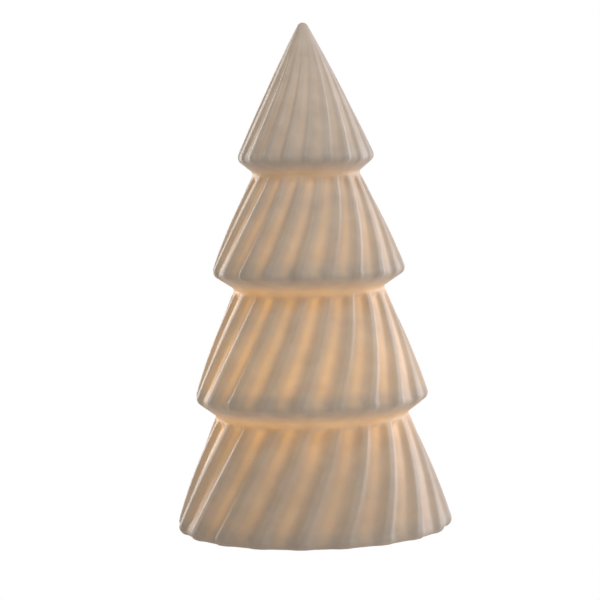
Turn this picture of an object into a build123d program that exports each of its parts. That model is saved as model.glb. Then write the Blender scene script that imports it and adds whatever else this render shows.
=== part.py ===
from build123d import *
import math
import os

# Lit ceramic tree: a ribbed porcelain shell on felt pads, with a plug-in light unit under it.
# Millimetres. +Z is up, the origin is on the ground under the tip, and -Y faces the viewer.

# Tiers of the shell, from the foot up: crests of the ribs before their edges are rounded
foot_width = 20.5
foot_tier_height = 52.2
lower_neck_radius = 43.6
lower_ledge_drop = 7.5
lower_rim_radius = 53.6
lower_tier_height = 57.4
upper_neck_radius = 33.9
upper_ledge_drop = 7.1
upper_rim_radius = 44.6
upper_tier_height = 52.1
top_neck_radius = 23.9
top_ledge_drop = 6.4
top_rim_radius = 31.6
top_tier_height = 67.4
tip_rounding = 2.7
tip_flat_tilt = 78.0
rim_rounding = 3.4
neck_rounding = 1.6
foot_rounding = 3.2
foot_edge_tilt = -62.0
flank_bulge = 0.7

# Ribs of the shell: degrees are turned from the viewer's side towards +X
rib_count = 20
rib_pitch_angle = 360 / rib_count
points_per_rib = 12
rib_depth_share = 0.028
rib_top_share = 0.12
rib_base_share = 0.38
rib_start_angle = 14.0
top_rib_start_angle = 21.0
rib_twist_angle = 20.0
rib_lead = 4.0
top_rib_lead = 30.0
rib_runout = 6.0
rim_depth_share = 0.8
flank_shares = (0.06, 0.13, 0.25, 0.42, 0.6, 0.76, 0.88, 1.0)
arc_steps = 4

# Inside and underside of the shell
wall = 3.2
rim_core_rise = 4.0
inner_rounding = 3.0
recess_depth = 4.0
recess_clearance = 1.5
floor_thickness = 4.0
channel_width = 8.0
overrun = 5.0

# Felt pads
pad_thickness = 1.0
pad_radius = 4.5
pad_place_share = 0.39
pad_count = 4

# Light unit housing and flange
unit_wall = 2.0
unit_clearance = 0.73
flange_overlap = 5.0
flange_thickness = 2.4
flange_rounding = 0.8
plate_thickness = 1.6
seat_gap = 0.1
fit_gap = 0.05
rib_width = 1.2

# Sealing ring with soft lips
ring_width = 3.0
lip_count = 3
lip_height = 0.8

# Cells and their bay
cell_radius = 5.2
cell_length = 43.5
cell_edge = 0.4
nub_radius = 1.9
nub_length = 1.0
cell_gap = 0.5
cell_play = 0.1
bay_side_gap = 0.5
bay_wall = 1.5
bay_roof = 1.6
divider_drop = 3.0
divider_inset = 4.0
foam_thickness = 0.8
foam_width = 16.0

# Stamped contacts
contact_thickness = 0.4
contact_width = 8.0
contact_height = 9.0
spring_length = 2.6
spring_width = 4.0
spring_rise_share = 0.4
tail_width = 3.0
tail_height = 1.6

# Battery door and its two captive screws
door_edge = 1.2
door_gap = 0.2
tongue_radius = 4.0
boss_radius = 2.7
boss_height = 9.0
screw_radius = 1.1
screw_hole_radius = 1.3
head_radius = 2.2
head_height = 1.2
head_inset = 0.2
head_rounding = 0.4
cross_width = 0.6
cross_length = 2.6
cross_depth = 0.6
screw_length = 8.0
door_screw_length = 7.4
grip_count = 5
grip_width = 1.0
grip_length = 12.0
grip_depth = 0.4

# Circuit board and what it carries
board_end_gap = 2.0
board_side_gap = 0.6
board_thickness = 1.6
board_standoff = 2.0
board_corner = 2.0
board_screw_inset = 3.5
headroom = 3.6
led_length = 3.5
led_width = 2.8
led_height = 1.9
led_well_radius = 1.1
led_well_depth = 0.5
chip_length = 4.9
chip_width = 3.9
chip_height = 1.5
chip_end_inset = 10.0
chip_side_inset = 4.0
chip_leg_count = 4
chip_leg_width = 0.4
chip_leg_reach = 1.0
chip_leg_height = 0.5
resistor_length = 3.2
resistor_width = 1.6
resistor_height = 0.6

# Cover, its screws and the frosted dome
cover_thickness = 2.0
cover_rounding = 1.2
post_radius = 2.6
post_inset = 0.2
post_angle = 56.7
dome_radius = 12.0
dome_wall = 1.2
dome_rise = 9.0
dome_lip = 1.6

# Slide switch
switch_gap = 4.4
switch_length = 9.0
switch_width = 5.0
switch_height = 4.2
switch_shell = 0.7
switch_travel = 1.5
slider_length = 4.0
slider_thickness = 1.2
knob_length = 2.6
knob_width = 2.0
pocket_height = 2.4
slide_gap = 0.15

# Wires
wire_radius = 0.6
wire_bend = 1.2
wire_spacing = 5.0
wire_crest = 2.4
wire_inset = 1.2

# Levels, from the ground up
foot_z = pad_thickness
recess_z = foot_z + recess_depth
floor_top_z = recess_z + floor_thickness
flange_top_z = recess_z - seat_gap
flange_low_z = flange_top_z - flange_thickness
plate_top_z = flange_top_z + plate_thickness
cell_z = flange_top_z + foam_thickness + 2 * cell_play + cell_radius
bay_top_z = cell_z + cell_radius + cell_play
roof_top_z = bay_top_z + bay_roof
board_low_z = roof_top_z + board_standoff
board_top_z = board_low_z + board_thickness
cover_low_z = board_top_z + headroom
cover_top_z = cover_low_z + cover_thickness

# Plan of the light unit, from its cells out to the foot of the shell
cell_pitch = 2 * cell_radius + cell_gap
bay_half_length = cell_length / 2 + nub_length / 2 + spring_length / 2 + contact_thickness + fit_gap
bay_half_width = cell_pitch + cell_radius + bay_side_gap
inner_radius = math.hypot(bay_half_length + bay_wall, bay_half_width + bay_wall) + unit_clearance
unit_radius = inner_radius + unit_wall
opening_radius = unit_radius + ring_width
flange_radius = opening_radius + flange_overlap
recess_radius = flange_radius + recess_clearance
foot_crest_radius = recess_radius + foot_width
pad_circle_radius = recess_radius + foot_width * pad_place_share
boss_x = bay_half_length + bay_wall + boss_radius - rib_width / 2
switch_y = bay_half_width + bay_wall + switch_gap + switch_width / 2
board_length = 2 * (bay_half_length - board_end_gap)
board_width = 2 * (bay_half_width - board_side_gap)
board_screw_x = board_length / 2 - board_screw_inset
board_screw_y = board_width / 2 - board_screw_inset
chip_x = board_length / 2 - chip_end_inset
chip_y = chip_side_inset - board_width / 2
post_reach = inner_radius - post_radius - post_inset
post_x = post_reach * math.cos(math.radians(post_angle))
post_y = post_reach * math.sin(math.radians(post_angle))
door_half_length = bay_half_length + door_edge
door_half_width = bay_half_width + door_edge
slot_length = knob_length + 2 * (switch_travel + slide_gap)
slot_width = knob_width + 2 * slide_gap
cover_screw_places = [(x, y) for x in (-post_x, post_x) for y in (-post_y, post_y)]
board_screw_places = [(side * board_screw_x, side * board_screw_y) for side in (-1, 1)]
tail_places = [(1, -cell_pitch), (-1, cell_pitch)]


def rod(radius, low, high, x=0, y=0):
    """Upright round bar between two levels."""
    bar = Cylinder(radius, high - low, align=(Align.CENTER, Align.CENTER, Align.MIN))
    return Pos(x, y, low) * bar


def block(length, width, low, high, x=0, y=0):
    """Upright rectangular bar between two levels."""
    bar = Box(length, width, high - low, align=(Align.CENTER, Align.CENTER, Align.MIN))
    return Pos(x, y, low) * bar


def turned(points, rounding=0, rounded=()):
    """Solid turned about the Z axis from radius and height points, some corners rounded."""
    corners = [(r, 0, z) for r, z in points]
    outline = make_face(Polyline(*corners, close=True))
    if rounding:
        chosen = [outline.vertices().sort_by_distance(corners[i])[0] for i in rounded]
        outline = fillet(chosen, rounding)
    return revolve(outline, Axis.Z)


def outward(angle):
    """Unit direction in radius and height, tilted up from level by degrees."""
    return Vector(math.cos(math.radians(angle)), math.sin(math.radians(angle)))


def normal_angle(upper, lower):
    """Tilt of the outward normal of a straight run of the outline, going down."""
    return math.degrees(math.atan2(lower.X - upper.X, upper.Y - lower.Y))


def corner_centre(corner, first, second, radius):
    """Centre of the arc that rounds a corner between two normals. A hollow corner's radius is negative."""
    middle = outward((first + second) / 2)
    return corner - middle * (radius / math.cos(math.radians((first - second) / 2)))


def arc_points(centre, radius, first, second):
    """Points along an arc between two normals."""
    turns = [first + (second - first) * step / arc_steps for step in range(arc_steps + 1)]
    return [centre + outward(turn) * radius for turn in turns]


def smooth(share):
    """Ease from 0 to 1."""
    share = min(1, max(0, share))
    return share * share * (3 - 2 * share)


def rib_section(radius, depth, turn, height):
    """Level slice of a tier, crest to crest: ribs reach the radius and flutes go in by the depth."""
    steps = [step / points_per_rib for step in range(points_per_rib + 1)]
    flutes = []
    for rib in range(rib_count):
        points = []
        for share in steps:
            aside = min(share, 1 - share)
            crest = smooth((rib_base_share - aside) / (rib_base_share - rib_top_share))
            angle = math.radians(turn + rib_pitch_angle * (rib + share) - 90)
            reach = radius - depth * (1 - crest)
            points.append(Vector(reach * math.cos(angle), reach * math.sin(angle), height))
        ends = [Vector(-point.Y, point.X).normalized() for point in (points[0], points[-1])]
        flutes.append(Edge.make_spline(points, tangents=ends, parameters=steps))
    return Face(Wire(flutes))


def tier_sections(start, rim_arc, neck_arc, lead, start_angle):
    """Slices of one tier, from its upper neck over its ribbed flank and rounded rim to the next neck."""
    top, low = start[-1], rim_arc[0]
    flank = (low - top).length
    stations = [(point, 0, start_angle) for point in start]
    for share in flank_shares:
        risen = smooth(share * flank / lead)
        left = smooth((1 - share) * flank / rib_runout)
        fullness = risen * (rim_depth_share + (1 - rim_depth_share) * left)
        bulge = Vector(4 * share * (1 - share) * flank_bulge, 0)
        stations.append((top + (low - top) * share + bulge, fullness, start_angle - rib_twist_angle * share))
    rim_angle = start_angle - rib_twist_angle
    for step, point in enumerate(rim_arc[1:], start=1):
        stations.append((point, rim_depth_share * (1 - smooth(step / arc_steps)), rim_angle))
    next_angle = rib_start_angle + rib_pitch_angle * round((rim_angle - rib_start_angle) / rib_pitch_angle)
    for step, point in enumerate(neck_arc):
        stations.append((point, 0, rim_angle + (next_angle - rim_angle) * step / arc_steps))
    return [
        rib_section(point.X, rib_depth_share * point.X * fullness, turn, point.Y)
        for point, fullness, turn in stations
    ]


# Outline of the shell: rims and necks as radius and height, from the top down
lower_neck = Vector(lower_neck_radius, foot_z + foot_tier_height)
lower_rim = Vector(lower_rim_radius, lower_neck.Y + lower_ledge_drop)
upper_neck = Vector(upper_neck_radius, lower_neck.Y + lower_tier_height)
upper_rim = Vector(upper_rim_radius, upper_neck.Y + upper_ledge_drop)
top_neck = Vector(top_neck_radius, upper_neck.Y + upper_tier_height)
top_rim = Vector(top_rim_radius, top_neck.Y + top_ledge_drop)
foot_sink = foot_rounding * (1 + math.sin(math.radians(foot_edge_tilt)))
foot_corner = Vector(foot_crest_radius, foot_z - foot_sink)
tip_z = top_neck.Y + top_tier_height
rims = (top_rim, upper_rim, lower_rim, foot_corner)
necks = (top_neck, upper_neck, lower_neck)

# The tip is a ball that the top flank runs off
tip_centre = Vector(0, tip_z - tip_rounding)
tip_reach = top_rim - tip_centre
tip_tilt = math.degrees(math.atan2(tip_reach.X, -tip_reach.Y) - math.asin(tip_rounding / tip_reach.length))
flank_tilts = [tip_tilt] + [normal_angle(neck, rim) for neck, rim in zip(necks, rims[1:])]
ledge_tilts = [normal_angle(rim, neck) for rim, neck in zip(rims, necks)]


def tree_outside():
    """All four tiers as one full body, sewn from the tiers' sides, the tip's flat and the foot."""
    start = arc_points(tip_centre, tip_rounding, tip_flat_tilt, tip_tilt)
    lead, angle = top_rib_lead, top_rib_start_angle
    tiers = []
    for rim, flank, under, neck, next_flank in zip(rims, flank_tilts, ledge_tilts, necks, flank_tilts[1:]):
        rim_arc = arc_points(corner_centre(rim, flank, under, rim_rounding), rim_rounding, flank, under)
        hollow = corner_centre(neck, under, next_flank, -neck_rounding)
        tiers.append(tier_sections(start, rim_arc, arc_points(hollow, -neck_rounding, under, 0), lead, angle))
        start = arc_points(hollow, -neck_rounding, 0, next_flank)
        lead, angle = rib_lead, rib_start_angle
    foot_centre = corner_centre(foot_corner, flank_tilts[-1], -90, foot_rounding)
    foot_arc = arc_points(foot_centre, foot_rounding, flank_tilts[-1], foot_edge_tilt)
    tiers.append(tier_sections(start, foot_arc, [], lead, angle))
    faces = [tiers[0][0], tiers[-1][-1]]
    for sections in tiers:
        faces += loft(sections).faces().filter_by(GeomType.PLANE, reverse=True)
    return Solid(Shell(faces))


def tree_inside():
    """Smooth hollow of the shell: it follows the flutes at the wall's thickness and skips the rims."""
    points = [(0, floor_top_z), (recess_radius + wall, floor_top_z), (recess_radius + wall, recess_z)]
    points.append((recess_radius + wall + channel_width, recess_z))
    uppers = (tip_centre,) + necks
    for rim, flank, upper in list(zip(rims, flank_tilts, uppers))[::-1]:
        inset = wall / math.cos(math.radians(flank)) + rib_depth_share * rim.X
        slope = math.tan(math.radians(flank))
        if rim is foot_corner:
            low = Vector(rim.X - inset - slope * channel_width, recess_z + channel_width)
        else:
            low = Vector(rim.X - inset - slope * rim_core_rise, rim.Y + rim_core_rise)
        points.append((low.X, low.Y))
        if upper is tip_centre:
            points.append((0, low.Y + low.X / slope))
        else:
            points.append((upper.X - wall / math.cos(math.radians(flank)), upper.Y))
    return turned(points, inner_rounding, range(4, len(points) - 1))


def ceramic_tree():
    """Slip-cast shell with a recessed underside and the opening for the light unit."""
    shell = tree_outside() - tree_inside()
    shell -= rod(opening_radius, foot_z - overrun, floor_top_z + overrun)
    return shell - rod(recess_radius, foot_z - overrun, recess_z)


def foot_pads():
    """Felt pads spread round the foot."""
    pad = rod(pad_radius, 0, pad_thickness, pad_circle_radius)
    turns = [360 * (index + 1 / 2) / pad_count for index in range(pad_count)]
    return Compound(children=[Rot(0, 0, turn) * pad for turn in turns])


def sealing_ring():
    """Soft ring round the housing, with lips that press on the ceramic opening."""
    low, high = flange_top_z, floor_top_z
    tip = opening_radius - fit_gap
    points = [(unit_radius + fit_gap, high), (unit_radius + fit_gap, low), (tip - lip_height, low)]
    for lip in range(lip_count):
        points.append((tip, low + (high - low) * (lip + 1 / 2) / lip_count))
        points.append((tip - lip_height, low + (high - low) * (lip + 1) / lip_count))
    return turned(points)


def door_plan(gap):
    """Plan of the battery door with its two screw tongues, grown all round by the gap."""
    plan = Rectangle(2 * (door_half_length + gap), 2 * (door_half_width + gap))
    for x in (-boss_x, boss_x):
        plan += Pos(x, 0) * Circle(tongue_radius + gap)
    return plan


def unit_housing():
    """Round housing: flange, base plate, side wall, bay for the cells, bosses and posts."""
    body = rod(flange_radius, flange_low_z, flange_top_z)
    body = fillet(body.edges().group_by(Axis.Z)[0], flange_rounding)
    body += rod(unit_radius, flange_top_z, roof_top_z) - rod(inner_radius, plate_top_z, roof_top_z)
    body += block(2 * (bay_half_length + bay_wall), 2 * (bay_half_width + bay_wall), flange_top_z, roof_top_z)
    for x in (-boss_x, boss_x):
        body += rod(boss_radius, flange_top_z, flange_top_z + boss_height, x)
        body -= rod(screw_radius + fit_gap, flange_top_z, flange_top_z + boss_height - unit_wall, x)
    for x, y in cover_screw_places:
        body += rod(post_radius, flange_top_z, cover_low_z, x, y)
        body -= rod(screw_radius + fit_gap, cover_low_z - screw_length, cover_low_z, x, y)
    for x, y in board_screw_places:
        body += rod(post_radius, roof_top_z, board_low_z, x, y)
        body -= rod(screw_radius + fit_gap, roof_top_z - bay_roof / 2, board_low_z, x, y)
    pocket_top_z = plate_top_z + pocket_height
    pocket = block(switch_length + 2 * rib_width, switch_width + 2 * rib_width, plate_top_z, pocket_top_z)
    pocket -= block(switch_length + 2 * fit_gap, switch_width + 2 * fit_gap, plate_top_z, pocket_top_z)
    body += Pos(0, switch_y) * pocket
    body -= block(slot_length, slot_width, flange_low_z, plate_top_z, 0, switch_y)
    body -= block(2 * bay_half_length, 2 * bay_half_width, flange_low_z, bay_top_z)
    divider_length = 2 * (bay_half_length - divider_inset)
    for y in (-cell_pitch / 2, cell_pitch / 2):
        body += block(divider_length, rib_width, bay_top_z - divider_drop, bay_top_z, 0, y)
    for side, y in tail_places:
        tail_x = side * (bay_half_length - contact_thickness / 2)
        slot = (contact_thickness + 2 * fit_gap, tail_width + 2 * fit_gap)
        body -= block(*slot, bay_top_z, roof_top_z, tail_x, y)
    return body - Pos(0, 0, flange_low_z) * extrude(door_plan(door_gap), flange_thickness)


def unit_cover():
    """Cap of the housing, with the dome's hole and the screws' holes."""
    cap = rod(unit_radius, roof_top_z, cover_top_z)
    cap = fillet(cap.edges().group_by(Axis.Z)[-1], cover_rounding)
    cap -= rod(inner_radius, roof_top_z, cover_low_z)
    for x, y in cover_screw_places:
        cap -= rod(screw_hole_radius, cover_low_z, cover_top_z, x, y)
    return cap - rod(dome_radius + door_gap, cover_low_z, cover_top_z)


def screw(length):
    """Cross-head screw that points down from the underside of its head."""
    head = rod(head_radius, 0, head_height)
    head = fillet(head.edges().group_by(Axis.Z)[-1], head_rounding)
    for turn in (0, 90):
        head -= Rot(0, 0, turn) * block(cross_length, cross_width, head_height - cross_depth, head_height)
    shank = rod(screw_radius, -length, 0)
    return head + chamfer(shank.edges().group_by(Axis.Z)[0], screw_radius / 2)


def cover_screws():
    """Screws that hold the cap on the housing's posts."""
    return Compound(children=[Pos(x, y, cover_top_z) * screw(screw_length) for x, y in cover_screw_places])


def board_screws():
    """Short screws that hold the circuit board on its posts."""
    length = board_thickness + board_standoff
    return Compound(children=[Pos(x, y, board_top_z) * screw(length) for x, y in board_screw_places])


def diffuser_dome():
    """Frosted dome with a lip that lies under the cap."""
    ball_radius = (dome_radius**2 + dome_rise**2) / (2 * dome_rise)
    ball_z = cover_top_z + dome_rise - ball_radius
    lip_low_z = cover_low_z - dome_wall
    dome = Pos(0, 0, ball_z) * Sphere(ball_radius) & rod(dome_radius, cover_top_z, cover_top_z + dome_rise)
    dome += rod(dome_radius, cover_low_z, cover_top_z) + rod(dome_radius + dome_lip, lip_low_z, cover_low_z)
    hollow_radius = dome_radius - dome_wall
    hollow = Pos(0, 0, ball_z) * Sphere(ball_radius - dome_wall)
    hollow &= rod(hollow_radius, cover_top_z - dome_wall, cover_top_z + dome_rise)
    return dome - hollow - rod(hollow_radius, lip_low_z, cover_top_z - dome_wall)


def circuit_board():
    """Board that carries the lamp over the cells."""
    board = block(board_length, board_width, board_low_z, board_top_z)
    board = fillet(board.edges().filter_by(Axis.Z), board_corner)
    for x, y in board_screw_places:
        board -= rod(screw_hole_radius, board_low_z, board_top_z, x, y)
    return board


def led():
    """Lamp in the middle of the board: a block with a round well that faces up."""
    high = board_top_z + led_height
    return block(led_length, led_width, board_top_z, high) - rod(led_well_radius, high - led_well_depth, high)


def resistor():
    """Resistor that sets the lamp's current."""
    high = board_top_z + resistor_height
    return block(resistor_length, resistor_width, board_top_z, high, -chip_x, chip_y)


def timer_chip():
    """Timer with a row of legs on each side."""
    chip = block(chip_length, chip_width, board_top_z, board_top_z + chip_height)
    leg_span = chip_width + 2 * chip_leg_reach
    for index in range(chip_leg_count):
        x = chip_length * ((index + 1 / 2) / chip_leg_count - 1 / 2)
        chip += block(chip_leg_width, leg_span, board_top_z, board_top_z + chip_leg_height, x)
    return Pos(chip_x, chip_y) * chip


def switch_body():
    """Case of the slide switch, hollow for its slider."""
    high = plate_top_z + switch_height
    case = block(switch_length, switch_width, plate_top_z, high)
    case -= block(switch_length - 2 * switch_shell, switch_width - 2 * switch_shell,
                  plate_top_z + switch_shell, high - switch_shell)
    return Pos(0, switch_y) * (case - block(slot_length, slot_width, plate_top_z, plate_top_z + switch_shell))


def switch_slider():
    """Slider of the switch: a plate in the case and a knob that reaches through the base."""
    low = plate_top_z + switch_shell + fit_gap
    plate = block(slider_length, switch_width - 2 * switch_shell - 2 * slide_gap, low, low + slider_thickness)
    return Pos(0, switch_y) * (plate + block(knob_length, knob_width, flange_low_z + head_inset, low))


def battery(side, y):
    """Cell that lies along X with its nub towards the side."""
    upright_cell = rod(cell_radius, 0, cell_length)
    upright_cell = fillet(upright_cell.edges(), cell_edge)
    upright_cell += rod(nub_radius, cell_length, cell_length + nub_length)
    reach = bay_half_length - contact_thickness - fit_gap - cell_length - nub_length
    return Pos(side * reach, y, cell_z) * Rot(0, side * 90, 0) * upright_cell


def contact(side, flat_y, spring_y, tail_y):
    """Stamped contact on an end wall of the bay, over its flat, spring and tail places."""
    places = [y for y in (flat_y, spring_y) if y is not None]
    low_y, high_y = min(places) - contact_width / 2, max(places) + contact_width / 2
    face_x = bay_half_length - contact_thickness
    mid_x = bay_half_length - contact_thickness / 2
    low, high = cell_z - contact_height / 2, cell_z + contact_height / 2
    metal = block(contact_thickness, high_y - low_y, low, high, mid_x, (low_y + high_y) / 2)
    if spring_y is not None:
        rise = contact_height * spring_rise_share
        crest_x = face_x - spring_length + contact_thickness / 2
        free_x = face_x - spring_length / 2
        leaf = Polyline((mid_x, cell_z - rise), (crest_x, cell_z), (free_x, cell_z + rise))
        strip = extrude(Plane.XZ * trace(leaf, contact_thickness), spring_width / 2, both=True)
        metal += Pos(0, spring_y) * strip
    if tail_y is not None:
        metal += block(contact_thickness, tail_width, high, roof_top_z + tail_height, mid_x, tail_y)
    return metal if side > 0 else mirror(metal, about=Plane.YZ)


def wire(start, end):
    """Wire that rises from its start, bends over and comes down on the board."""
    crest_z = board_top_z + wire_crest
    route = FilletPolyline(
        start, (start[0], start[1], crest_z), (end[0], end[1], crest_z), (*end, board_top_z), radius=wire_bend
    )
    return sweep(Plane(start) * Circle(wire_radius), path=route)


def tail_wire(side, y):
    """Wire from a contact's tail to the board."""
    start_x = side * (bay_half_length - contact_thickness / 2)
    return wire((start_x, y, roof_top_z + tail_height), (side * (board_length / 2 - wire_inset), y))


def switch_wire(side):
    """Wire from the top of the switch to the board."""
    x = side * wire_spacing / 2
    return wire((x, switch_y, plate_top_z + switch_height), (x, board_width / 2 - wire_inset))


def battery_door():
    """Door over the bay, with two tongues that hold its screws."""
    door = Pos(0, 0, flange_low_z) * extrude(door_plan(0), flange_thickness - fit_gap)
    for x in (-boss_x, boss_x):
        door -= rod(screw_hole_radius, flange_low_z, flange_top_z, x)
        door -= rod(head_radius + door_gap, flange_low_z, flange_low_z + head_inset + head_height, x)
    grips = range(-grip_count + 1, grip_count, 2)
    for place in grips:
        door -= block(grip_width, grip_length, flange_low_z, flange_low_z + grip_depth, place * grip_width)
    return door


def battery_foam():
    """Foam strip on the door under the cells."""
    low = flange_top_z - fit_gap
    return block(2 * (bay_half_length - divider_inset), foam_width, low, low + foam_thickness)


def door_screw(side):
    """Captive screw of the door: it points up into the housing's boss."""
    low = flange_low_z + head_inset + head_height
    return Pos(side * boss_x, 0, low) * Rot(180, 0, 0) * screw(door_screw_length)


# One file for each piece
pieces = {
    "ceramic_tree": ceramic_tree(),
    "foot_pads": foot_pads(),
    "sealing_ring": sealing_ring(),
    "unit_housing": unit_housing(),
    "unit_cover": unit_cover(),
    "cover_screws": cover_screws(),
    "diffuser_dome": diffuser_dome(),
    "circuit_board": circuit_board(),
    "board_screws": board_screws(),
    "led": led(),
    "resistor": resistor(),
    "timer_chip": timer_chip(),
    "switch_body": switch_body(),
    "switch_slider": switch_slider(),
    "battery_1": battery(1, -cell_pitch),
    "battery_2": battery(-1, 0),
    "battery_3": battery(1, cell_pitch),
    "contact_positive": contact(1, -cell_pitch, None, -cell_pitch),
    "contact_negative": contact(-1, None, cell_pitch, cell_pitch),
    "contact_link_right": contact(1, cell_pitch, 0, None),
    "contact_link_left": contact(-1, 0, -cell_pitch, None),
    "wire_positive": tail_wire(1, -cell_pitch),
    "wire_negative": tail_wire(-1, cell_pitch),
    "wire_switch_left": switch_wire(-1),
    "wire_switch_right": switch_wire(1),
    "battery_door": battery_door(),
    "battery_foam": battery_foam(),
    "door_screw_left": door_screw(-1),
    "door_screw_right": door_screw(1),
}
os.makedirs("parts", exist_ok=True)
for name, piece in pieces.items():
    export_step(piece, f"parts/{name}.step")
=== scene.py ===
import math

import bpy
import numpy as np
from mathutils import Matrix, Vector


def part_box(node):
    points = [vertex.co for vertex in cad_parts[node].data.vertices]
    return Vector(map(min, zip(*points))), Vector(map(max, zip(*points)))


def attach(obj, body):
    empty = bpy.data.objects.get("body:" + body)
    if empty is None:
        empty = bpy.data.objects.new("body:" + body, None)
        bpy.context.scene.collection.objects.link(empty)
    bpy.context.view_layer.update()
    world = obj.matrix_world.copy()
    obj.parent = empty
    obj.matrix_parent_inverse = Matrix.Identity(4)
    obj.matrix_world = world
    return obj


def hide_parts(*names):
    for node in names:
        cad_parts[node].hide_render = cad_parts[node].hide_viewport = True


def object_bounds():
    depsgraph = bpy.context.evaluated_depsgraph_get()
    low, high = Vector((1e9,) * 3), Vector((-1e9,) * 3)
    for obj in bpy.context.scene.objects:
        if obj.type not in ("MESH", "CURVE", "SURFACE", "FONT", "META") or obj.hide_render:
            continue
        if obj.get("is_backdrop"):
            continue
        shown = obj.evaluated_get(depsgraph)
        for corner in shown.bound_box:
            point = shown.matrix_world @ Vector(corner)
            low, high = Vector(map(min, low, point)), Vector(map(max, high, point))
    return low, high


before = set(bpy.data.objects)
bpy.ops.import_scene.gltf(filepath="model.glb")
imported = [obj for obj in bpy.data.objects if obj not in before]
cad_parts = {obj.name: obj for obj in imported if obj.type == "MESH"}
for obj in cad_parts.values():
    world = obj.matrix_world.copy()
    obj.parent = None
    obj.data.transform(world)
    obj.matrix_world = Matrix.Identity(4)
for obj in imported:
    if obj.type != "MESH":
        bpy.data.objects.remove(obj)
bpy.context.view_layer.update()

# The shell: one piece of white porcelain, slip-cast in a plaster mould and fired without glaze.
# Four tiers of twisted ribs stand on a plain foot ring. Its wall is thin in the flutes, so the
# lamp inside shows through there, and thick in the rims, which stay dark. Lengths are millimetres.
mm = 0.001
foot_z = 1.0
tip_z = 230.04
tip_rounding = 2.7
rim_rounding = 3.4
neck_rounding = 1.6
foot_rounding = 3.2
foot_edge_tilt = -62.0
up_tilt, down_tilt = 90.0, -90.0
flank_bulge = 0.7
rims = [Vector((31.6, 169.1)), Vector((44.6, 117.7)), Vector((53.6, 60.7)), Vector((64.0, 0.63))]
necks = [Vector((23.9, 162.7)), Vector((33.9, 110.6)), Vector((43.6, 53.2))]
rib_count = 20
rib_pitch = 360 / rib_count
columns_per_rib = 24
rib_depth_share = 0.043
rib_top_share, rib_base_share = 0.08, 0.37
rib_sharpness = 1.5
front_angle = -90.0
rib_start = 14.0
top_rib_start = 21.0
rib_twist = 20.0
rib_lead = 2.6
top_rib_lead = 30.0
top_rib_depth_share = 0.8
rib_runout = 6.0
rim_depth_share = 0.85
rim_fade_share, foot_fade_share = 0.45, 0.4
depth_wander_share = 0.05
wander_per_rib = 2.4
wander_per_mm = 0.045
flank_steps = 36
arc_steps = 9
ledge_steps = 3
# Porcelain that light passes on its way out, and how much less of it there is in the flutes
neck_depth, flank_depth, rim_depth = 2.9, 4.1, 4.85
flute_swing, rim_swing, flute_sharpness = 0.97, 0.4, 1.7


def ease(share):
    """Soft step from 0 to 1."""
    share = np.clip(share, 0, 1)
    return share * share * (3 - 2 * share)


def outward(tilt):
    """Unit direction in radius and height, tilted up by degrees."""
    return Vector((math.cos(math.radians(tilt)), math.sin(math.radians(tilt))))


def run_tilt(upper, lower):
    """Tilt of the outward side of a straight run that goes down."""
    return math.degrees(math.atan2(lower.x - upper.x, upper.y - lower.y))


def corner_centre(corner, first, second, radius):
    """Centre of the arc that rounds a corner. A hollow corner has a negative radius."""
    return corner - outward((first + second) / 2) * (radius / math.cos(math.radians((first - second) / 2)))


def arc(centre, radius, first, second):
    """Points of an arc between two outward tilts."""
    tilts = [first + (second - first) * step / arc_steps for step in range(arc_steps + 1)]
    return [centre + outward(tilt) * radius for tilt in tilts]


def rounded(points, radius):
    """A run of straight lines with its inner corners rounded."""
    run = [points[0]]
    for before, corner, after in zip(points, points[1:], points[2:]):
        back, on = before - corner, after - corner
        reach = min(radius, back.length / 2, on.length / 2)
        start, end = corner + back.normalized() * reach, corner + on.normalized() * reach
        for step in range(arc_steps + 1):
            share = step / arc_steps
            run.append(start.lerp(corner, share).lerp(corner.lerp(end, share), share))
    return run + [points[-1]]


def ring_faces(first, rows, columns):
    """Faces between rings of points that follow one another downwards."""
    faces = []
    for row in range(rows - 1):
        upper, lower = first + row * columns, first + (row + 1) * columns
        for place in range(columns):
            beside = (place + 1) % columns
            faces.append((upper + place, lower + place, lower + beside, upper + beside))
    return faces


def new_piece(name, points, faces):
    """New object from points in millimetres and the faces between them."""
    mesh = bpy.data.meshes.new(name)
    mesh.from_pydata((np.array(points) * mm).tolist(), [], faces)
    mesh.update()
    piece = bpy.data.objects.new(name, mesh)
    bpy.context.scene.collection.objects.link(piece)
    return piece


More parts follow.
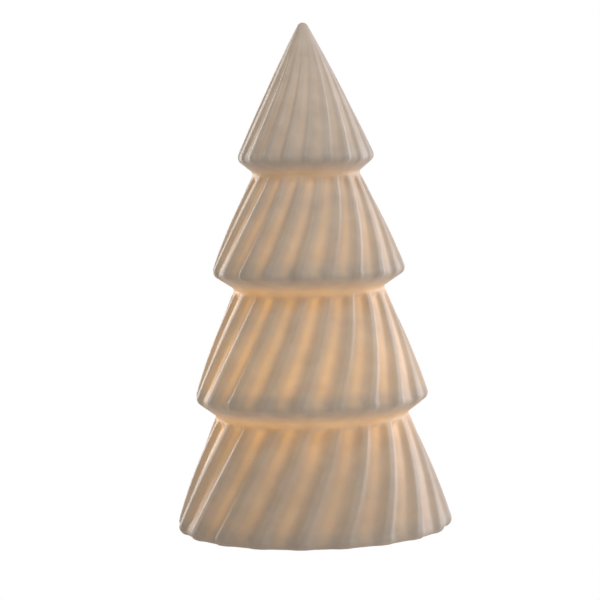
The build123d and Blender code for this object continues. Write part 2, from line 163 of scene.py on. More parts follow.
# Rows of the shell's surface from the tip down: point, bulge, fullness of the ribs, their turn, the
# most porcelain that light passes there on its way out, and how much less of it is in the flutes
tip_centre = Vector((0, tip_z - tip_rounding))
tip_reach = rims[0] - tip_centre
tip_tilt = math.degrees(math.atan2(tip_reach.x, -tip_reach.y) - math.asin(tip_rounding / tip_reach.length))
flank_tilts = [tip_tilt] + [run_tilt(neck, rim) for neck, rim in zip(necks, rims[1:])]
ledge_tilts = [run_tilt(rim, neck) for rim, neck in zip(rims, necks)] + [down_tilt]
rows = []
start = arc(tip_centre, tip_rounding, up_tilt, tip_tilt)[1:]
lead, turn, depth_share = top_rib_lead, top_rib_start, top_rib_depth_share
for tier, (rim, flank_tilt, ledge_tilt) in enumerate(zip(rims, flank_tilts, ledge_tilts)):
    is_foot = tier == len(necks)
    rounding, low_tilt = (foot_rounding, foot_edge_tilt) if is_foot else (rim_rounding, ledge_tilt)
    fade_share = foot_fade_share if is_foot else rim_fade_share
    rim_centre = corner_centre(rim, flank_tilt, ledge_tilt, rounding)
    rim_arc = arc(rim_centre, rounding, flank_tilt, low_tilt)
    top_depth = neck_depth if tier else flank_depth
    rows += [(point, 0, 0, turn, top_depth, 0) for point in start]
    top, low = start[-1], rim_arc[0]
    flank = (low - top).length
    for step in range(1, flank_steps + 1):
        share = step / flank_steps
        carved = ease(share * flank / lead)
        above_rim = ease((1 - share) * flank / rib_runout)
        fullness = depth_share * carved * (rim_depth_share + (1 - rim_depth_share) * above_rim)
        bulge = 4 * share * (1 - share) * flank_bulge
        most = flank_depth + (top_depth - flank_depth) * (1 - carved)
        most += (rim_depth - flank_depth) * (1 - above_rim)
        swing = flute_swing * fullness + rim_swing * (1 - above_rim)
        rows.append((top.lerp(low, share), bulge, fullness, turn - rib_twist * share, most, swing))
    turn -= rib_twist
    for step, point in enumerate(rim_arc[1:], start=1):
        past = ease(step / arc_steps)
        fullness = depth_share * rim_depth_share * (1 - fade_share * past)
        swing = flute_swing * fullness + rim_swing * (1 - past)
        rows.append((point, 0, fullness, turn, rim_depth, swing))
    if not is_foot:
        hollow = corner_centre(necks[tier], ledge_tilt, flank_tilts[tier + 1], -neck_rounding)
        under = arc(hollow, -neck_rounding, ledge_tilt, 0)
        next_turn = rib_start + rib_pitch * round((turn - rib_start) / rib_pitch)
        ledge = [rim_arc[-1].lerp(under[0], (step + 1) / (ledge_steps + 1)) for step in range(ledge_steps)]
        for point in ledge + under:
            near = (rim_arc[-1] - point).length / (rim_arc[-1] - under[-1]).length
            most = rim_depth + (neck_depth - rim_depth) * near
            rows.append((point, 0, 0, turn + (next_turn - turn) * near, most, 0))
        start = arc(hollow, -neck_rounding, 0, flank_tilts[tier + 1])[1:]
        lead, turn, depth_share = rib_lead, next_turn, 1
outer_rows = len(rows)

# The recessed underside, the opening and the smooth hollow
wall = 3.2
flute_allowance_share = 0.042
recess_radius = 43.5
recess_z = 5.0
opening_radius = 37.0
floor_top_z = 9.0
channel_radius = recess_radius + wall
channel_width = 8.0
rim_core_rise = 4.0
edge_rounding = 0.7
inner_rounding = 3.0
underside = [Vector(point) for point in (
    (rim_arc[-1].x, foot_z), (recess_radius, foot_z), (recess_radius, recess_z), (opening_radius, recess_z),
    (opening_radius, floor_top_z), (channel_radius, floor_top_z), (channel_radius, recess_z),
    (channel_radius + channel_width, recess_z))]
hollow_run = [underside[-1]]
for rim, flank_tilt, upper in list(zip(rims, flank_tilts, [tip_centre] + necks))[::-1]:
    is_foot = rim is rims[-1]
    slope = math.tan(math.radians(flank_tilt))
    across = wall / math.cos(math.radians(flank_tilt))
    rise = channel_width if is_foot else rim_core_rise
    low_z = (recess_z if is_foot else rim.y) + rise
    low_r = rim.x * (1 - flute_allowance_share) - across - slope * rise
    hollow_run.append(Vector((low_r, low_z)))
    if upper is tip_centre:
        hollow_run.append(Vector((0, low_z + low_r / slope)))
    else:
        hollow_run.append(Vector((upper.x - across, upper.y)))
inner_run = rounded(hollow_run, inner_rounding)
rows += [(point, 0, 0, turn, 0, 0) for point in rounded(underside, edge_rounding)[1:] + inner_run[1:-1]]

columns = rib_count * columns_per_rib
column = np.arange(columns)
rib, phase = column // columns_per_rib, (column % columns_per_rib) / columns_per_rib
aside = np.minimum(phase, 1 - phase)
crest = ease((rib_base_share - aside) / (rib_base_share - rib_top_share)) ** rib_sharpness
hollowed = ((1 - np.cos(math.tau * phase)) / 2) ** flute_sharpness
inner_r = [point.x for point in inner_run]
inner_z = [point.y for point in inner_run]
rings, depths = [], []
for point, bulge, fullness, row_turn, most, swing in rows:
    wander = 1 + depth_wander_share * np.sin(wander_per_rib * (rib + phase) + wander_per_mm * point.y)
    reach = point.x + bulge - rib_depth_share * point.x * fullness * (1 - crest) * wander
    angle = np.radians(row_turn + rib_pitch * (rib + phase) + front_angle)
    rings.append(np.stack([reach * np.cos(angle), reach * np.sin(angle), np.full(columns, point.y)], 1))
    above = max(0, point.y - inner_z[-1])
    body = min(most, math.hypot(point.x - np.interp(point.y, inner_z, inner_r), above))
    depths.append(body - swing * hollowed * wander)
# The tip and the hollow's top close the two ends
skin = np.concatenate(rings + [[[0, 0, tip_z], [0, 0, inner_z[-1]]]])
faces = ring_faces(0, len(rows), columns)
last = (len(rows) - 1) * columns
for place in range(columns):
    beside = (place + 1) % columns
    faces.append((place, beside, len(skin) - 2))
    faces.append((last + beside, last + place, len(skin) - 1))
shell = new_piece("ceramic_shell", skin, faces)
shell.data.shade_smooth()

# Light from the lamp through the wall: its beam meets the two lower tiers, light bounced off the
# white hollow fills the upper ones, and it fades with the depth of porcelain that it has to pass.
# Each part of it has a level, the height of its middle and its spread.
beam = (4.8, 79.0, 28.0)
bounce = (2.2, 133.0, 24.0)
spill = (1.6, 22.0, 24.0)
fill_level = 2.75
clear_depth = 1.1
least_depth = 0.3
thin_glow = np.array([1.0, 0.42, 0.04])
thick_glow = np.array([1.0, 0.55, 0.17])
thin_depth, thick_depth = 2.0, 4.5
depth = np.maximum(np.concatenate(depths + [[wall, wall]]), least_depth)
level = fill_level
for part_level, middle, spread in (beam, bounce, spill):
    level = level + part_level * np.exp(-((skin[:, 2] - middle) / spread) ** 2)
glow = level * np.exp(-depth / clear_depth)
thickness = np.clip((depth - thin_depth) / (thick_depth - thin_depth), 0, 1)[:, None]
colours = np.ones((len(skin), 4), np.float32)
colours[:, :3] = glow[:, None] * (thin_glow + (thick_glow - thin_glow) * thickness)
# No glow is added under the foot or inside the hollow
colours[outer_rows * columns:-2, :3] = 0
lamp_glow = shell.data.attributes.new("lamp_glow", "FLOAT_COLOR", "POINT")
lamp_glow.data.foreach_set("color", colours.reshape(-1))


def add_node(tree, kind, inputs=(), **settings):
    """New shader node with its settings, and a value or a link for each named input."""
    node = tree.nodes.new(kind)
    for key, value in settings.items():
        setattr(node, key, value)
    for key, value in dict(inputs).items():
        if isinstance(value, bpy.types.NodeSocket):
            tree.links.new(value, node.inputs[key])
        else:
            node.inputs[key].default_value = value
    return node


def calc(tree, operation, *values, kind="Math"):
    """Result of a math node, or of a vector math node, on one or two values."""
    return add_node(tree, "ShaderNode" + kind, dict(enumerate(values)), operation=operation).outputs[0]


def scaled(tree, colour, factor):
    """Colour made lighter or darker by a factor."""
    return add_node(tree, "ShaderNodeVectorMath", {0: colour, "Scale": factor}, operation="SCALE").outputs[0]


def ramp(tree, value, given, wanted, **settings):
    """Value that runs over the wanted range while another runs over the given one."""
    return add_node(tree, "ShaderNodeMapRange", {
        "Value": value, "From Min": given[0], "From Max": given[1],
        "To Min": wanted[0], "To Max": wanted[1]}, **settings).outputs["Result"]


def new_group(name, inputs, outputs):
    """Empty shader node group, with its inputs and its outputs."""
    group = bpy.data.node_groups.new(name, "ShaderNodeTree")
    for label, kind in inputs:
        group.interface.new_socket(label, in_out="INPUT", socket_type="NodeSocket" + kind)
    for label, kind in outputs:
        group.interface.new_socket(label, in_out="OUTPUT", socket_type="NodeSocket" + kind)
    return group, group.nodes.new("NodeGroupInput").outputs, group.nodes.new("NodeGroupOutput").inputs


# Cloudy tone: soft patches that are lighter and darker, as in any cast or moulded body
cloudy_tone, given, result = new_group(
    "cloudy_tone", [("Color", "Color"), ("Scale", "Float"), ("Amount", "Float")], [("Color", "Color")])
where = add_node(cloudy_tone, "ShaderNodeTexCoord").outputs["Object"]
clouds = add_node(cloudy_tone, "ShaderNodeTexNoise", {
    "Vector": where, "Scale": given["Scale"], "Detail": 4.0})
patches = ramp(cloudy_tone, clouds.outputs["Fac"], (0.3, 0.7), (-0.5, 0.5))
patches = calc(cloudy_tone, "MULTIPLY", patches, given["Amount"])
factor = calc(cloudy_tone, "ADD", patches, 1.0)
cloudy_tone.links.new(scaled(cloudy_tone, given["Color"], factor), result["Color"])

# Fine grain: height and roughness of a dull surface at the scale of its grains
fine_grain, given, result = new_group(
    "fine_grain", [("Scale", "Float"), ("Roughness", "Float"), ("Spread", "Float")],
    [("Height", "Float"), ("Roughness", "Float")])
where = add_node(fine_grain, "ShaderNodeTexCoord").outputs["Object"]
grains = add_node(fine_grain, "ShaderNodeTexNoise", {
    "Vector": where, "Scale": given["Scale"], "Detail": 3.0})
rough = calc(fine_grain, "SUBTRACT", grains.outputs["Fac"], 0.5)
rough = calc(fine_grain, "MULTIPLY", rough, given["Spread"])
rough = calc(fine_grain, "ADD", rough, given["Roughness"])
fine_grain.links.new(grains.outputs["Fac"], result["Height"])
fine_grain.links.new(rough, result["Roughness"])


def new_material(name, colour, clouds, grain, roughness):
    """Material with a cloudy colour and a grained surface: itself, its tree, its shader and its tone.

    The clouds have a scale and an amount, the grain has a scale and a height, and the roughness
    has a middle value and a spread.
    """
    material = bpy.data.materials.new(name)
    material.use_nodes = True
    tree = material.node_tree
    shader = tree.nodes["Principled BSDF"]
    tone = add_node(tree, "ShaderNodeGroup", {
        "Color": (*colour, 1), "Scale": clouds[0], "Amount": clouds[1]},
        node_tree=cloudy_tone).outputs["Color"]
    surface = add_node(tree, "ShaderNodeGroup", {
        "Scale": grain[0], "Roughness": roughness[0], "Spread": roughness[1]}, node_tree=fine_grain)
    relief = add_node(tree, "ShaderNodeBump", {
        "Height": surface.outputs["Height"], "Distance": grain[1] * mm})
    tree.links.new(tone, shader.inputs["Base Color"])
    tree.links.new(surface.outputs["Roughness"], shader.inputs["Roughness"])
    tree.links.new(relief.outputs["Normal"], shader.inputs["Normal"])
    return material, tree, shader, tone


porcelain, tree, shader, tone = new_material(
    "bisque_porcelain", (0.86, 0.745, 0.635), clouds=(110.0, 0.16), grain=(1400.0, 0.003),
    roughness=(0.52, 0.08))
where = add_node(tree, "ShaderNodeTexCoord").outputs["Object"]
# Pinholes: small dark specks, painted shade inside tiny pits of the fired body.
pores = add_node(tree, "ShaderNodeTexVoronoi", {"Vector": where, "Scale": 70.0})
pore_shade = ramp(tree, pores.outputs["Distance"], (0.012, 0.03), (0.45, 1.0))
tree.links.new(scaled(tree, tone, pore_shade), shader.inputs["Base Color"])
# Painted glow: the lamp_glow colours become emission, a little stronger or weaker where flecks of porcelain
# are clearer or cloudier.
through = add_node(tree, "ShaderNodeAttribute", attribute_name="lamp_glow").outputs["Color"]
flecks = add_node(tree, "ShaderNodeTexNoise", {
    "Vector": where, "Scale": 90.0, "Detail": 5.0, "Roughness": 0.6})
clearness = ramp(tree, flecks.outputs["Fac"], (0.3, 0.7), (0.82, 1.15))
tree.links.new(scaled(tree, through, clearness), shader.inputs["Emission Color"])
shader.inputs["Emission Strength"].default_value = 1.0
porcelain.cycles.emission_sampling = "NONE"
shader.inputs["Specular IOR Level"].default_value = 0.4
shell.data.materials.append(porcelain)
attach(shell, "tree")
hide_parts("ceramic_tree")

# Felt pads: four discs die-cut from pressed wool felt and glued under the foot.
# Below the glue the cut edge swells a little, and loose fibres keep it from being quite round.
pad_radius = 4.5
pad_place = 51.5
pad_angles = (45, 135, 225, 315)
pad_columns = 72
pad_profile_shares = ((0.95, 1.0), (0.985, 0.9), (1.0, 0.6), (0.99, 0.3), (0.965, 0.1), (0.92, 0.0))
fray_share = 0.008
fray_waves, cross_waves, cross_lean = 7, 13, 4
skin, faces = [], []
for angle in pad_angles:
    centre = outward(angle) * pad_place
    first = len(skin)
    for radius_share, height_share in pad_profile_shares:
        for place in range(pad_columns):
            turn = math.tau * place / pad_columns
            crossing = math.sin(cross_waves * turn + cross_lean * height_share)
            fray = 1 - fray_share * (1 + math.sin(fray_waves * turn + angle) * crossing)
            edge = outward(math.degrees(turn)) * (pad_radius * radius_share * fray)
            skin.append((centre.x + edge.x, centre.y + edge.y, foot_z * height_share))
    faces += ring_faces(first, len(pad_profile_shares), pad_columns)
    faces.append([first + place for place in range(pad_columns)])
    faces.append([len(skin) - 1 - place for place in range(pad_columns)])
felt_pads = new_piece("felt_pads", skin, faces)
felt, _, shader, _ = new_material(
    "wool_felt", (0.74, 0.71, 0.65), clouds=(1400.0, 0.22), grain=(2600.0, 0.15), roughness=(0.95, 0.1))
shader.inputs["Sheen Weight"].default_value = 0.35
shader.inputs["Sheen Roughness"].default_value = 0.6
felt_pads.data.materials.append(felt)
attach(felt_pads, "tree")
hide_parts("foot_pads")


# Housing, cover and door of the light unit: white plastic, injection moulded in a tool with a fine
# spark-eroded grain. The cover closes the housing from above, and the door closes the bay for the cells.
def dress(material, *nodes):
    """Give CAD nodes this material in place of their plain one."""
    for node in nodes:
        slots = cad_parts[node].data.materials
        slots.clear()
        slots.append(material)


white_plastic, _, shader, _ = new_material(
    "grained_white_plastic", (0.9, 0.88, 0.83), clouds=(28.0, 0.06), grain=(2400.0, 0.04),
    roughness=(0.48, 0.22))
shader.inputs["Specular IOR Level"].default_value = 0.45
dress(white_plastic, "unit_housing", "unit_cover", "battery_door")

# Contacts: nickel plated spring steel strip, stamped and folded, pressed into slots at the bay's ends.
# The plating is smooth and bright, with faint clouds and a fine grain.
nickel, _, shader, _ = new_material(
    "nickel_plating", (0.66, 0.63, 0.57), clouds=(260.0, 0.22), grain=(1800.0, 0.004), roughness=(0.27, 0.2))
shader.inputs["Metallic"].default_value = 1.0
dress(nickel, "contact_positive", "contact_negative", "contact_link_right", "contact_link_left")

# Slide switch: a folded can of tinned sheet steel, and a black moulded slider whose knob stands out
# through the flange. The can sits in a pocket of the housing, and the slider runs in the can.
tinned_steel, _, shader, _ = new_material(
    "tinned_sheet_steel", (0.6, 0.6, 0.58), clouds=(340.0, 0.25), grain=(1500.0, 0.005),
    roughness=(0.36, 0.24))
shader.inputs["Metallic"].default_value = 1.0
dress(tinned_steel, "switch_body")
slider_plastic, *_ = new_material(
    "black_moulded_plastic", (0.022, 0.022, 0.024), clouds=(320.0, 0.35), grain=(2600.0, 0.03),
    roughness=(0.5, 0.25))
dress(slider_plastic, "switch_slider")

# Circuit board: glass fibre laminate under green lacquer, through which the copper tracks show paler.
# Pads and vias are tinned and the sawn edge is bare laminate. Two screws hold it on the bay's roof.
board_colour = (0.016, 0.13, 0.06)
track_colour = (0.04, 0.24, 0.11, 1)
laminate_colour = (0.5, 0.42, 0.2, 1)
tin_colour = (0.62, 0.61, 0.58, 1)
via_share = 0.07
level_facing = 0.5
wire_radius = 0.6


def mixed(tree, mask, colour, tint):
    """Colour that gives way to a tint where the mask is 1."""
    return add_node(tree, "ShaderNodeMix", {0: mask, 6: colour, 7: tint}, data_type="RGBA").outputs[2]


# Middle and half size of each tinned pad: two at the sides of the lamp, the resistor and the chip, and
# one under the end of each wire
pads = []
for node, offset, half in (
        ("led", (2.1, 0), (0.9, 1.2)), ("resistor", (1.7, 0), (0.7, 1.0)),
        ("timer_chip", (0, 2.9), (2.4, 0.6))):
    low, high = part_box(node)
    middle = (low + high).to_2d() / (2 * mm)
    pads += [(middle + side * Vector(offset), half) for side in (-1, 1)]
for node, end, half in (
        ("wire_negative", (1, 0), (1.1, 1.5)), ("wire_positive", (-1, 0), (1.1, 1.5)),
        ("wire_switch_left", (0, -1), (1.2, 1.0)), ("wire_switch_right", (0, -1), (1.2, 1.0))):
    low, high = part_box(node)
    middle, reach = (low + high).to_2d() / (2 * mm), (high - low).to_2d() / (2 * mm)
    pads.append((middle + (reach - Vector((wire_radius, wire_radius))) * Vector(end), half))

lacquer, tree, shader, tone = new_material(
    "green_lacquered_board", board_colour, clouds=(160.0, 0.25), grain=(2200.0, 0.006),
    roughness=(0.3, 0.12))
where = add_node(tree, "ShaderNodeTexCoord").outputs
tracks = add_node(tree, "ShaderNodeTexBrick", {
    "Vector": where["Object"], "Color1": (0, 0, 0, 1), "Color2": (0, 0, 0, 1), "Mortar": (1, 1, 1, 1),
    "Scale": 70.0, "Mortar Size": 0.02, "Brick Width": 0.62, "Row Height": 0.19})
vias = add_node(tree, "ShaderNodeTexVoronoi", {"Vector": where["Object"], "Scale": 170.0})
tin = calc(tree, "LESS_THAN", vias.outputs["Distance"], via_share)
for middle, half in pads:
    apart = calc(tree, "SUBTRACT", where["Object"], (*middle * mm, 0), kind="VectorMath")
    apart = calc(tree, "ABSOLUTE", apart, kind="VectorMath")
    apart = calc(tree, "DIVIDE", apart, (*Vector(half) * mm, 1), kind="VectorMath")
    sides = add_node(tree, "ShaderNodeSeparateXYZ", {0: apart}).outputs
    reach = calc(tree, "MAXIMUM", sides["X"], sides["Y"])
    tin = calc(tree, "MAXIMUM", tin, calc(tree, "LESS_THAN", reach, 1.0))
facing = add_node(tree, "ShaderNodeSeparateXYZ", {0: where["Normal"]}).outputs["Z"]
facing = calc(tree, "ABSOLUTE", facing)
edge = calc(tree, "LESS_THAN", facing, level_facing)
tin = calc(tree, "MULTIPLY", tin, calc(tree, "GREATER_THAN", facing, level_facing))
colour = tone
for mask, tint in ((tracks.outputs["Color"], track_colour), (tin, tin_colour), (edge, laminate_colour)):
    colour = mixed(tree, mask, colour, tint)
tree.links.new(colour, shader.inputs["Base Color"])
tree.links.new(tin, shader.inputs["Metallic"])
dress(lacquer, "circuit_board")

# Lamp: a small white package with a round well of yellow phosphor, soldered in the board's middle.
# Lit, the well glows warm white and the package around it takes on some of the glow.
well_radius = 1.1
well_edge_share = 0.03
phosphor_colour = (0.9, 0.66, 0.14, 1)
package_shine, phosphor_shine = (0.05, 0.035, 0.012, 1), (1.0, 0.72, 0.34, 1)
package, tree, shader, tone = new_material(
    "lamp_package", (0.82, 0.8, 0.74), clouds=(900.0, 0.1), grain=(6000.0, 0.004), roughness=(0.45, 0.15))
where = add_node(tree, "ShaderNodeTexCoord").outputs["Object"]
level = calc(tree, "MULTIPLY", where, (1, 1, 0), kind="VectorMath")
radius = add_node(tree, "ShaderNodeVectorMath", {0: level}, operation="LENGTH").outputs["Value"]
well_edge = [well_radius * mm * (1 + side * well_edge_share) for side in (-1, 1)]
well = ramp(tree, radius, well_edge, (1.0, 0.0))
tree.links.new(mixed(tree, well, tone, phosphor_colour), shader.inputs["Base Color"])
tree.links.new(mixed(tree, well, package_shine, phosphor_shine), shader.inputs["Emission Color"])
shader.inputs["Emission Strength"].default_value = 1.0
package.cycles.emission_sampling = "NONE"
dress(package, "led")

# Resistor and timer chip: a black lacquered chip of ceramic with tinned ends, and a black moulded
# body with tinned legs along its two long sides. Both are soldered to the board.
for node, axis, half_body, body_colour in (
        ("resistor", "X", 1.15, (0.02, 0.02, 0.022)), ("timer_chip", "Y", 1.96, (0.03, 0.03, 0.031))):
    low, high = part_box(node)
    middle = (low + high) / 2
    chip, tree, shader, tone = new_material(
        node + "_body", body_colour, clouds=(700.0, 0.4), grain=(5200.0, 0.01), roughness=(0.5, 0.3))
    where = add_node(tree, "ShaderNodeTexCoord").outputs["Object"]
    apart = calc(tree, "SUBTRACT", where, middle, kind="VectorMath")
    along = add_node(tree, "ShaderNodeSeparateXYZ", {0: apart}).outputs[axis]
    tin = calc(tree, "GREATER_THAN", calc(tree, "ABSOLUTE", along), half_body * mm)
    tree.links.new(mixed(tree, tin, tone, tin_colour), shader.inputs["Base Color"])
    tree.links.new(tin, shader.inputs["Metallic"])
    dress(chip, node)

# Wires: stranded copper in smooth coloured insulation, bent up over the board and soldered at both ends.
# Red leads come from the positive contact and the switch, the black one from the negative contact.
for name, colour, nodes in (
        ("red_insulation", (0.42, 0.02, 0.016), ("wire_positive", "wire_switch_left", "wire_switch_right")),
        ("black_insulation", (0.016, 0.016, 0.017), ("wire_negative",))):
    insulation, _, shader, _ = new_material(
        name, colour, clouds=(500.0, 0.25), grain=(1600.0, 0.01), roughness=(0.34, 0.16))
    shader.inputs["Coat Weight"].default_value = 0.2
    dress(insulation, *nodes)

# Dome: a thin cap of frosted plastic over the lamp, held under the cover by its lip.
# It spreads the lamp's light, so it glows warm white, brightest at its top above the lamp.
lip_shine, top_shine = (0.42, 0.22, 0.07, 1), (1.0, 0.76, 0.42, 1)
low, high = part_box("diffuser_dome")
frosted, tree, shader, _ = new_material(
    "frosted_dome", (0.86, 0.8, 0.7), clouds=(200.0, 0.08), grain=(2600.0, 0.03), roughness=(0.55, 0.2))
where = add_node(tree, "ShaderNodeTexCoord").outputs["Object"]
rise = add_node(tree, "ShaderNodeSeparateXYZ", {0: where}).outputs["Z"]
climb = ramp(tree, rise, (low.z, high.z), (0.0, 1.0), interpolation_type="SMOOTHSTEP")
tree.links.new(mixed(tree, climb, lip_shine, top_shine), shader.inputs["Emission Color"])
shader.inputs["Emission Strength"].default_value = 1.2
dress(frosted, "diffuser_dome")

# Screws: zinc plated steel with cross slots. Four hold the cover, two the board, and two captive ones
# the battery door. The plating is bright, with a fine grain and faint clouds.
zinc, _, shader, _ = new_material(
    "zinc_plated_steel", (0.6, 0.6, 0.61), clouds=(420.0, 0.2), grain=(2600.0, 0.006), roughness=(0.3, 0.22))
shader.inputs["Metallic"].default_value = 1.0
dress(zinc, "cover_screws", "board_screws", "door_screw_left", "door_screw_right")

# Sealing ring: soft milky silicone, moulded with three lips and pushed over the housing.
# The lips bend in the opening of the foot and hold the unit there by friction.
silicone, _, shader, _ = new_material(
    "milky_silicone", (0.66, 0.66, 0.63), clouds=(240.0, 0.14), grain=(1500.0, 0.02), roughness=(0.4, 0.2))
shader.inputs["Subsurface Weight"].default_value = 0.25
shader.inputs["Subsurface Radius"].default_value = (1.0, 0.9, 0.8)
shader.inputs["Subsurface Scale"].default_value = 1.5 * mm
dress(silicone, "sealing_ring")

# Cells: three AAA cells in plain dark foil jackets with a copper coloured band round the positive end.
# The steel can shows bare on the end faces and the nub. They lie side by side, the middle one reversed.
band_start, band_edge = 10.5, 0.2
end_facing = 0.8
copper_colour, can_colour = (0.56, 0.33, 0.17, 1), (0.64, 0.63, 0.6, 1)
for name, nub_side, nodes in (
        ("cell_jacket_right", 1, ("battery_1", "battery_3")), ("cell_jacket_left", -1, ("battery_2",))):
    jacket, tree, shader, tone = new_material(
        name, (0.03, 0.032, 0.037), clouds=(180.0, 0.3), grain=(900.0, 0.006), roughness=(0.3, 0.14))
    shader.inputs["Coat Weight"].default_value = 0.3
    where = add_node(tree, "ShaderNodeTexCoord").outputs
    along = add_node(tree, "ShaderNodeSeparateXYZ", {0: where["Object"]}).outputs["X"]
    along = calc(tree, "MULTIPLY", along, nub_side)
    band = ramp(tree, along, (band_start * mm, (band_start + band_edge) * mm), (0.0, 1.0))
    facing = add_node(tree, "ShaderNodeSeparateXYZ", {0: where["Normal"]}).outputs["X"]
    bare = calc(tree, "GREATER_THAN", calc(tree, "ABSOLUTE", facing), end_facing)
    colour = mixed(tree, bare, mixed(tree, band, tone, copper_colour), can_colour)
    tree.links.new(colour, shader.inputs["Base Color"])
    tree.links.new(calc(tree, "MAXIMUM", band, bare), shader.inputs["Metallic"])
    dress(jacket, *nodes)

# Foam strip: dark closed-cell foam, die-cut and stuck inside the door, where it steadies the cells.
# Its upper edges are soft, and the middle cell has left a shallow dent along it.
foam_low, foam_high = [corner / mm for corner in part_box("battery_foam")]
foam_edge = 0.9
edge_drop_share = 0.6
dent_depth, dent_half_width = 0.12, 3.0
foam_cell_depth = 0.2
long_steps, wide_steps = 60, 28
skin, faces = [], []
for step in range(long_steps + 1):
    x = foam_high.x * (2 * step / long_steps - 1)
    for side in range(wide_steps + 1):
        y = foam_high.y * (2 * side / wide_steps - 1)
        inset = min(foam_high.x - abs(x), foam_high.y - abs(y))
        round_off = 1 - math.sqrt(1 - (1 - min(1, inset / foam_edge)) ** 2)
        dent = dent_depth * ease(1 - abs(y) / dent_half_width)
        drop = edge_drop_share * (foam_high.z - foam_low.z) * round_off
        skin.append((x, y, foam_high.z - dent - drop))
row = wide_steps + 1
for step in range(long_steps):
    for side in range(wide_steps):
        corner = step * row + side
        faces.append((corner, corner + row, corner + row + 1, corner + 1))
border = list(range(wide_steps, -1, -1)) + [step * row for step in range(1, long_steps + 1)]
border += [long_steps * row + side for side in range(1, row)]
border += [step * row + wide_steps for step in range(long_steps - 1, 0, -1)]
first = len(skin)
skin += [(*skin[place][:2], foam_low.z) for place in border]
for place in range(len(border)):
    beside = (place + 1) % len(border)
    faces.append((border[place], first + place, first + beside, border[beside]))
faces.append([first + place for place in range(len(border))][::-1])
foam_strip = new_piece("foam_strip", skin, faces)
foam, tree, shader, _ = new_material(
    "closed_cell_foam", (0.05, 0.05, 0.054), clouds=(600.0, 0.4), grain=(1200.0, 0.02),
    roughness=(0.85, 0.15))
where = add_node(tree, "ShaderNodeTexCoord").outputs["Object"]
cells = add_node(tree, "ShaderNodeTexVoronoi", {"Vector": where, "Scale": 2200.0})
relief = add_node(tree, "ShaderNodeBump", {
    "Height": cells.outputs["Distance"], "Distance": foam_cell_depth * mm})
tree.links.new(relief.outputs["Normal"], shader.inputs["Normal"])
foam_strip.data.materials.append(foam)
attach(foam_strip, "door")
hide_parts("battery_foam")

# Floor: a white sweep of paper that the tree stands on, lit evenly.
# It throws light up on the tree and leaves the picture white, with no shadow on it.
floor_reach = 2000.0
corners = [(x * floor_reach, y * floor_reach, 0) for x, y in ((-1, -1), (1, -1), (1, 1), (-1, 1))]
floor = new_piece("floor", corners, [(0, 1, 2, 3)])
white_floor = bpy.data.materials.new("white_floor")
white_floor.use_nodes = True
tree = white_floor.node_tree
tree.nodes.clear()
seen = add_node(tree, "ShaderNodeLightPath").outputs["Is Camera Ray"]
sheet = add_node(tree, "ShaderNodeBsdfDiffuse", {"Color": (0.5, 0.5, 0.5, 1)})
light = add_node(tree, "ShaderNodeEmission", {"Color": (1, 1, 1, 1), "Strength": 0.153})
sheet = add_node(tree, "ShaderNodeAddShader", {0: sheet.outputs[0], 1: light.outputs[0]})
clear = add_node(tree, "ShaderNodeBsdfTransparent")
choice = add_node(tree, "ShaderNodeMixShader", {0: seen, 1: sheet.outputs[0], 2: clear.outputs[0]})
add_node(tree, "ShaderNodeOutputMaterial", {"Surface": choice.outputs[0]})
white_floor.cycles.emission_sampling = "NONE"
floor.data.materials.append(white_floor)
floor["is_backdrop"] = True

# Light: a dim room that is brighter to the right and above, two tall strips behind the tree, and two
# small lamps above its front. All of them are soft, and places and sizes here are metres.
room_level = 0.02
lamp_aim = Vector((0, 0, 0.14))
plain, cool = (1.0, 1.0, 1.0), (0.96, 1.0, 1.15)
world = bpy.data.worlds.new("white_room")
world.use_nodes = True
bpy.context.scene.world = world
tree = world.node_tree
tree.nodes.clear()
direction = add_node(tree, "ShaderNodeTexCoord").outputs["Generated"]
parts = add_node(tree, "ShaderNodeSeparateXYZ", {0: direction}).outputs
strength = room_level
for axis, start, level in (("X", 0.2, 0.61), ("Z", 0.0, 0.11)):
    side = ramp(tree, parts[axis], (start, 1.0), (0.0, level), interpolation_type="SMOOTHSTEP")
    strength = calc(tree, "ADD", strength, side)
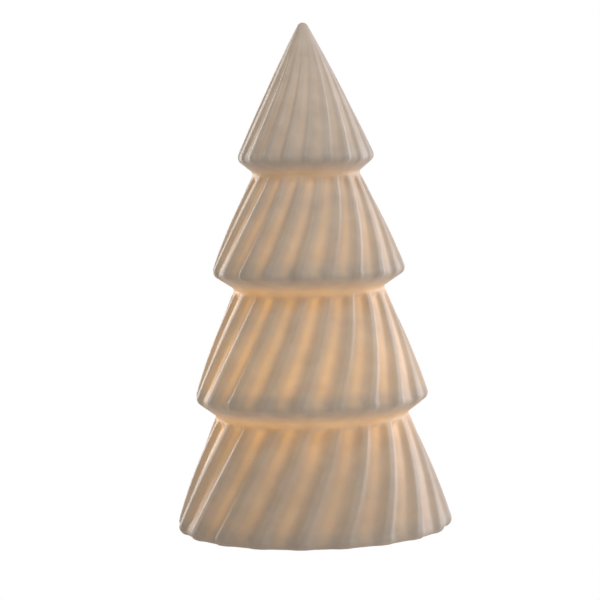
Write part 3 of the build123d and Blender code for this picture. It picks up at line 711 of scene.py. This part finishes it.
room = add_node(tree, "ShaderNodeBackground", {"Color": (0.97, 0.99, 1.01, 1), "Strength": strength})
backdrop = add_node(tree, "ShaderNodeBackground", {"Color": (1, 1, 1, 1), "Strength": 1.0})
seen = add_node(tree, "ShaderNodeLightPath").outputs["Is Camera Ray"]
choice = add_node(tree, "ShaderNodeMixShader", {0: seen, 1: room.outputs[0], 2: backdrop.outputs[0]})
add_node(tree, "ShaderNodeOutputWorld", {"Surface": choice.outputs[0]})
bpy.context.scene.view_settings.view_transform = "Standard"
for name, place, width, height, power, colour in (
        ("left_strip", (-0.65, 0.75, 0.2), 0.25, 0.9, 6.5, plain),
        ("right_strip", (0.84, 0.53, 0.2), 0.4, 0.9, 4.4, cool),
        ("top_lamp", (-0.25, -0.3, 0.55), 0.2, 0.2, 0.19, plain),
        ("crown_lamp", (-0.01, -0.14, 0.34), 0.1, 0.1, 0.075, plain)):
    lamp = bpy.data.lights.new(name, "AREA")
    lamp.shape = "RECTANGLE"
    lamp.size, lamp.size_y, lamp.energy, lamp.color = width, height, power, colour
    stand = bpy.data.objects.new(name, lamp)
    stand.location = place
    stand.rotation_euler = (lamp_aim - stand.location).to_track_quat("-Z", "Y").to_euler()
    bpy.context.scene.collection.objects.link(stand)

# Camera: a little above the tree, far off with a long lens, and tipped a touch to one side.
# Its place, lens and shift were fitted to the tree's outline in the photograph. Lengths are metres.
aim = Vector((0, 0, 0.117))
camera_distance = 1.0866
camera_elevation = math.radians(4.23)
camera_roll = math.radians(1.436)
camera_data = bpy.data.cameras.new("camera")
camera_data.lens = 143.56
camera_data.sensor_width = 36.0
camera_data.shift_x = -0.01442
camera_data.shift_y = -0.04553
camera = bpy.data.objects.new("camera", camera_data)
bpy.context.scene.collection.objects.link(camera)
back = Vector((0, -math.cos(camera_elevation), math.sin(camera_elevation)))
camera.location = aim + back * camera_distance
camera.rotation_mode = "XYZ"
camera.rotation_euler = (math.pi / 2 - camera_elevation, 0, 0)
camera.rotation_euler.rotate_axis("Z", -camera_roll)
bpy.context.scene.camera = camera

low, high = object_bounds()
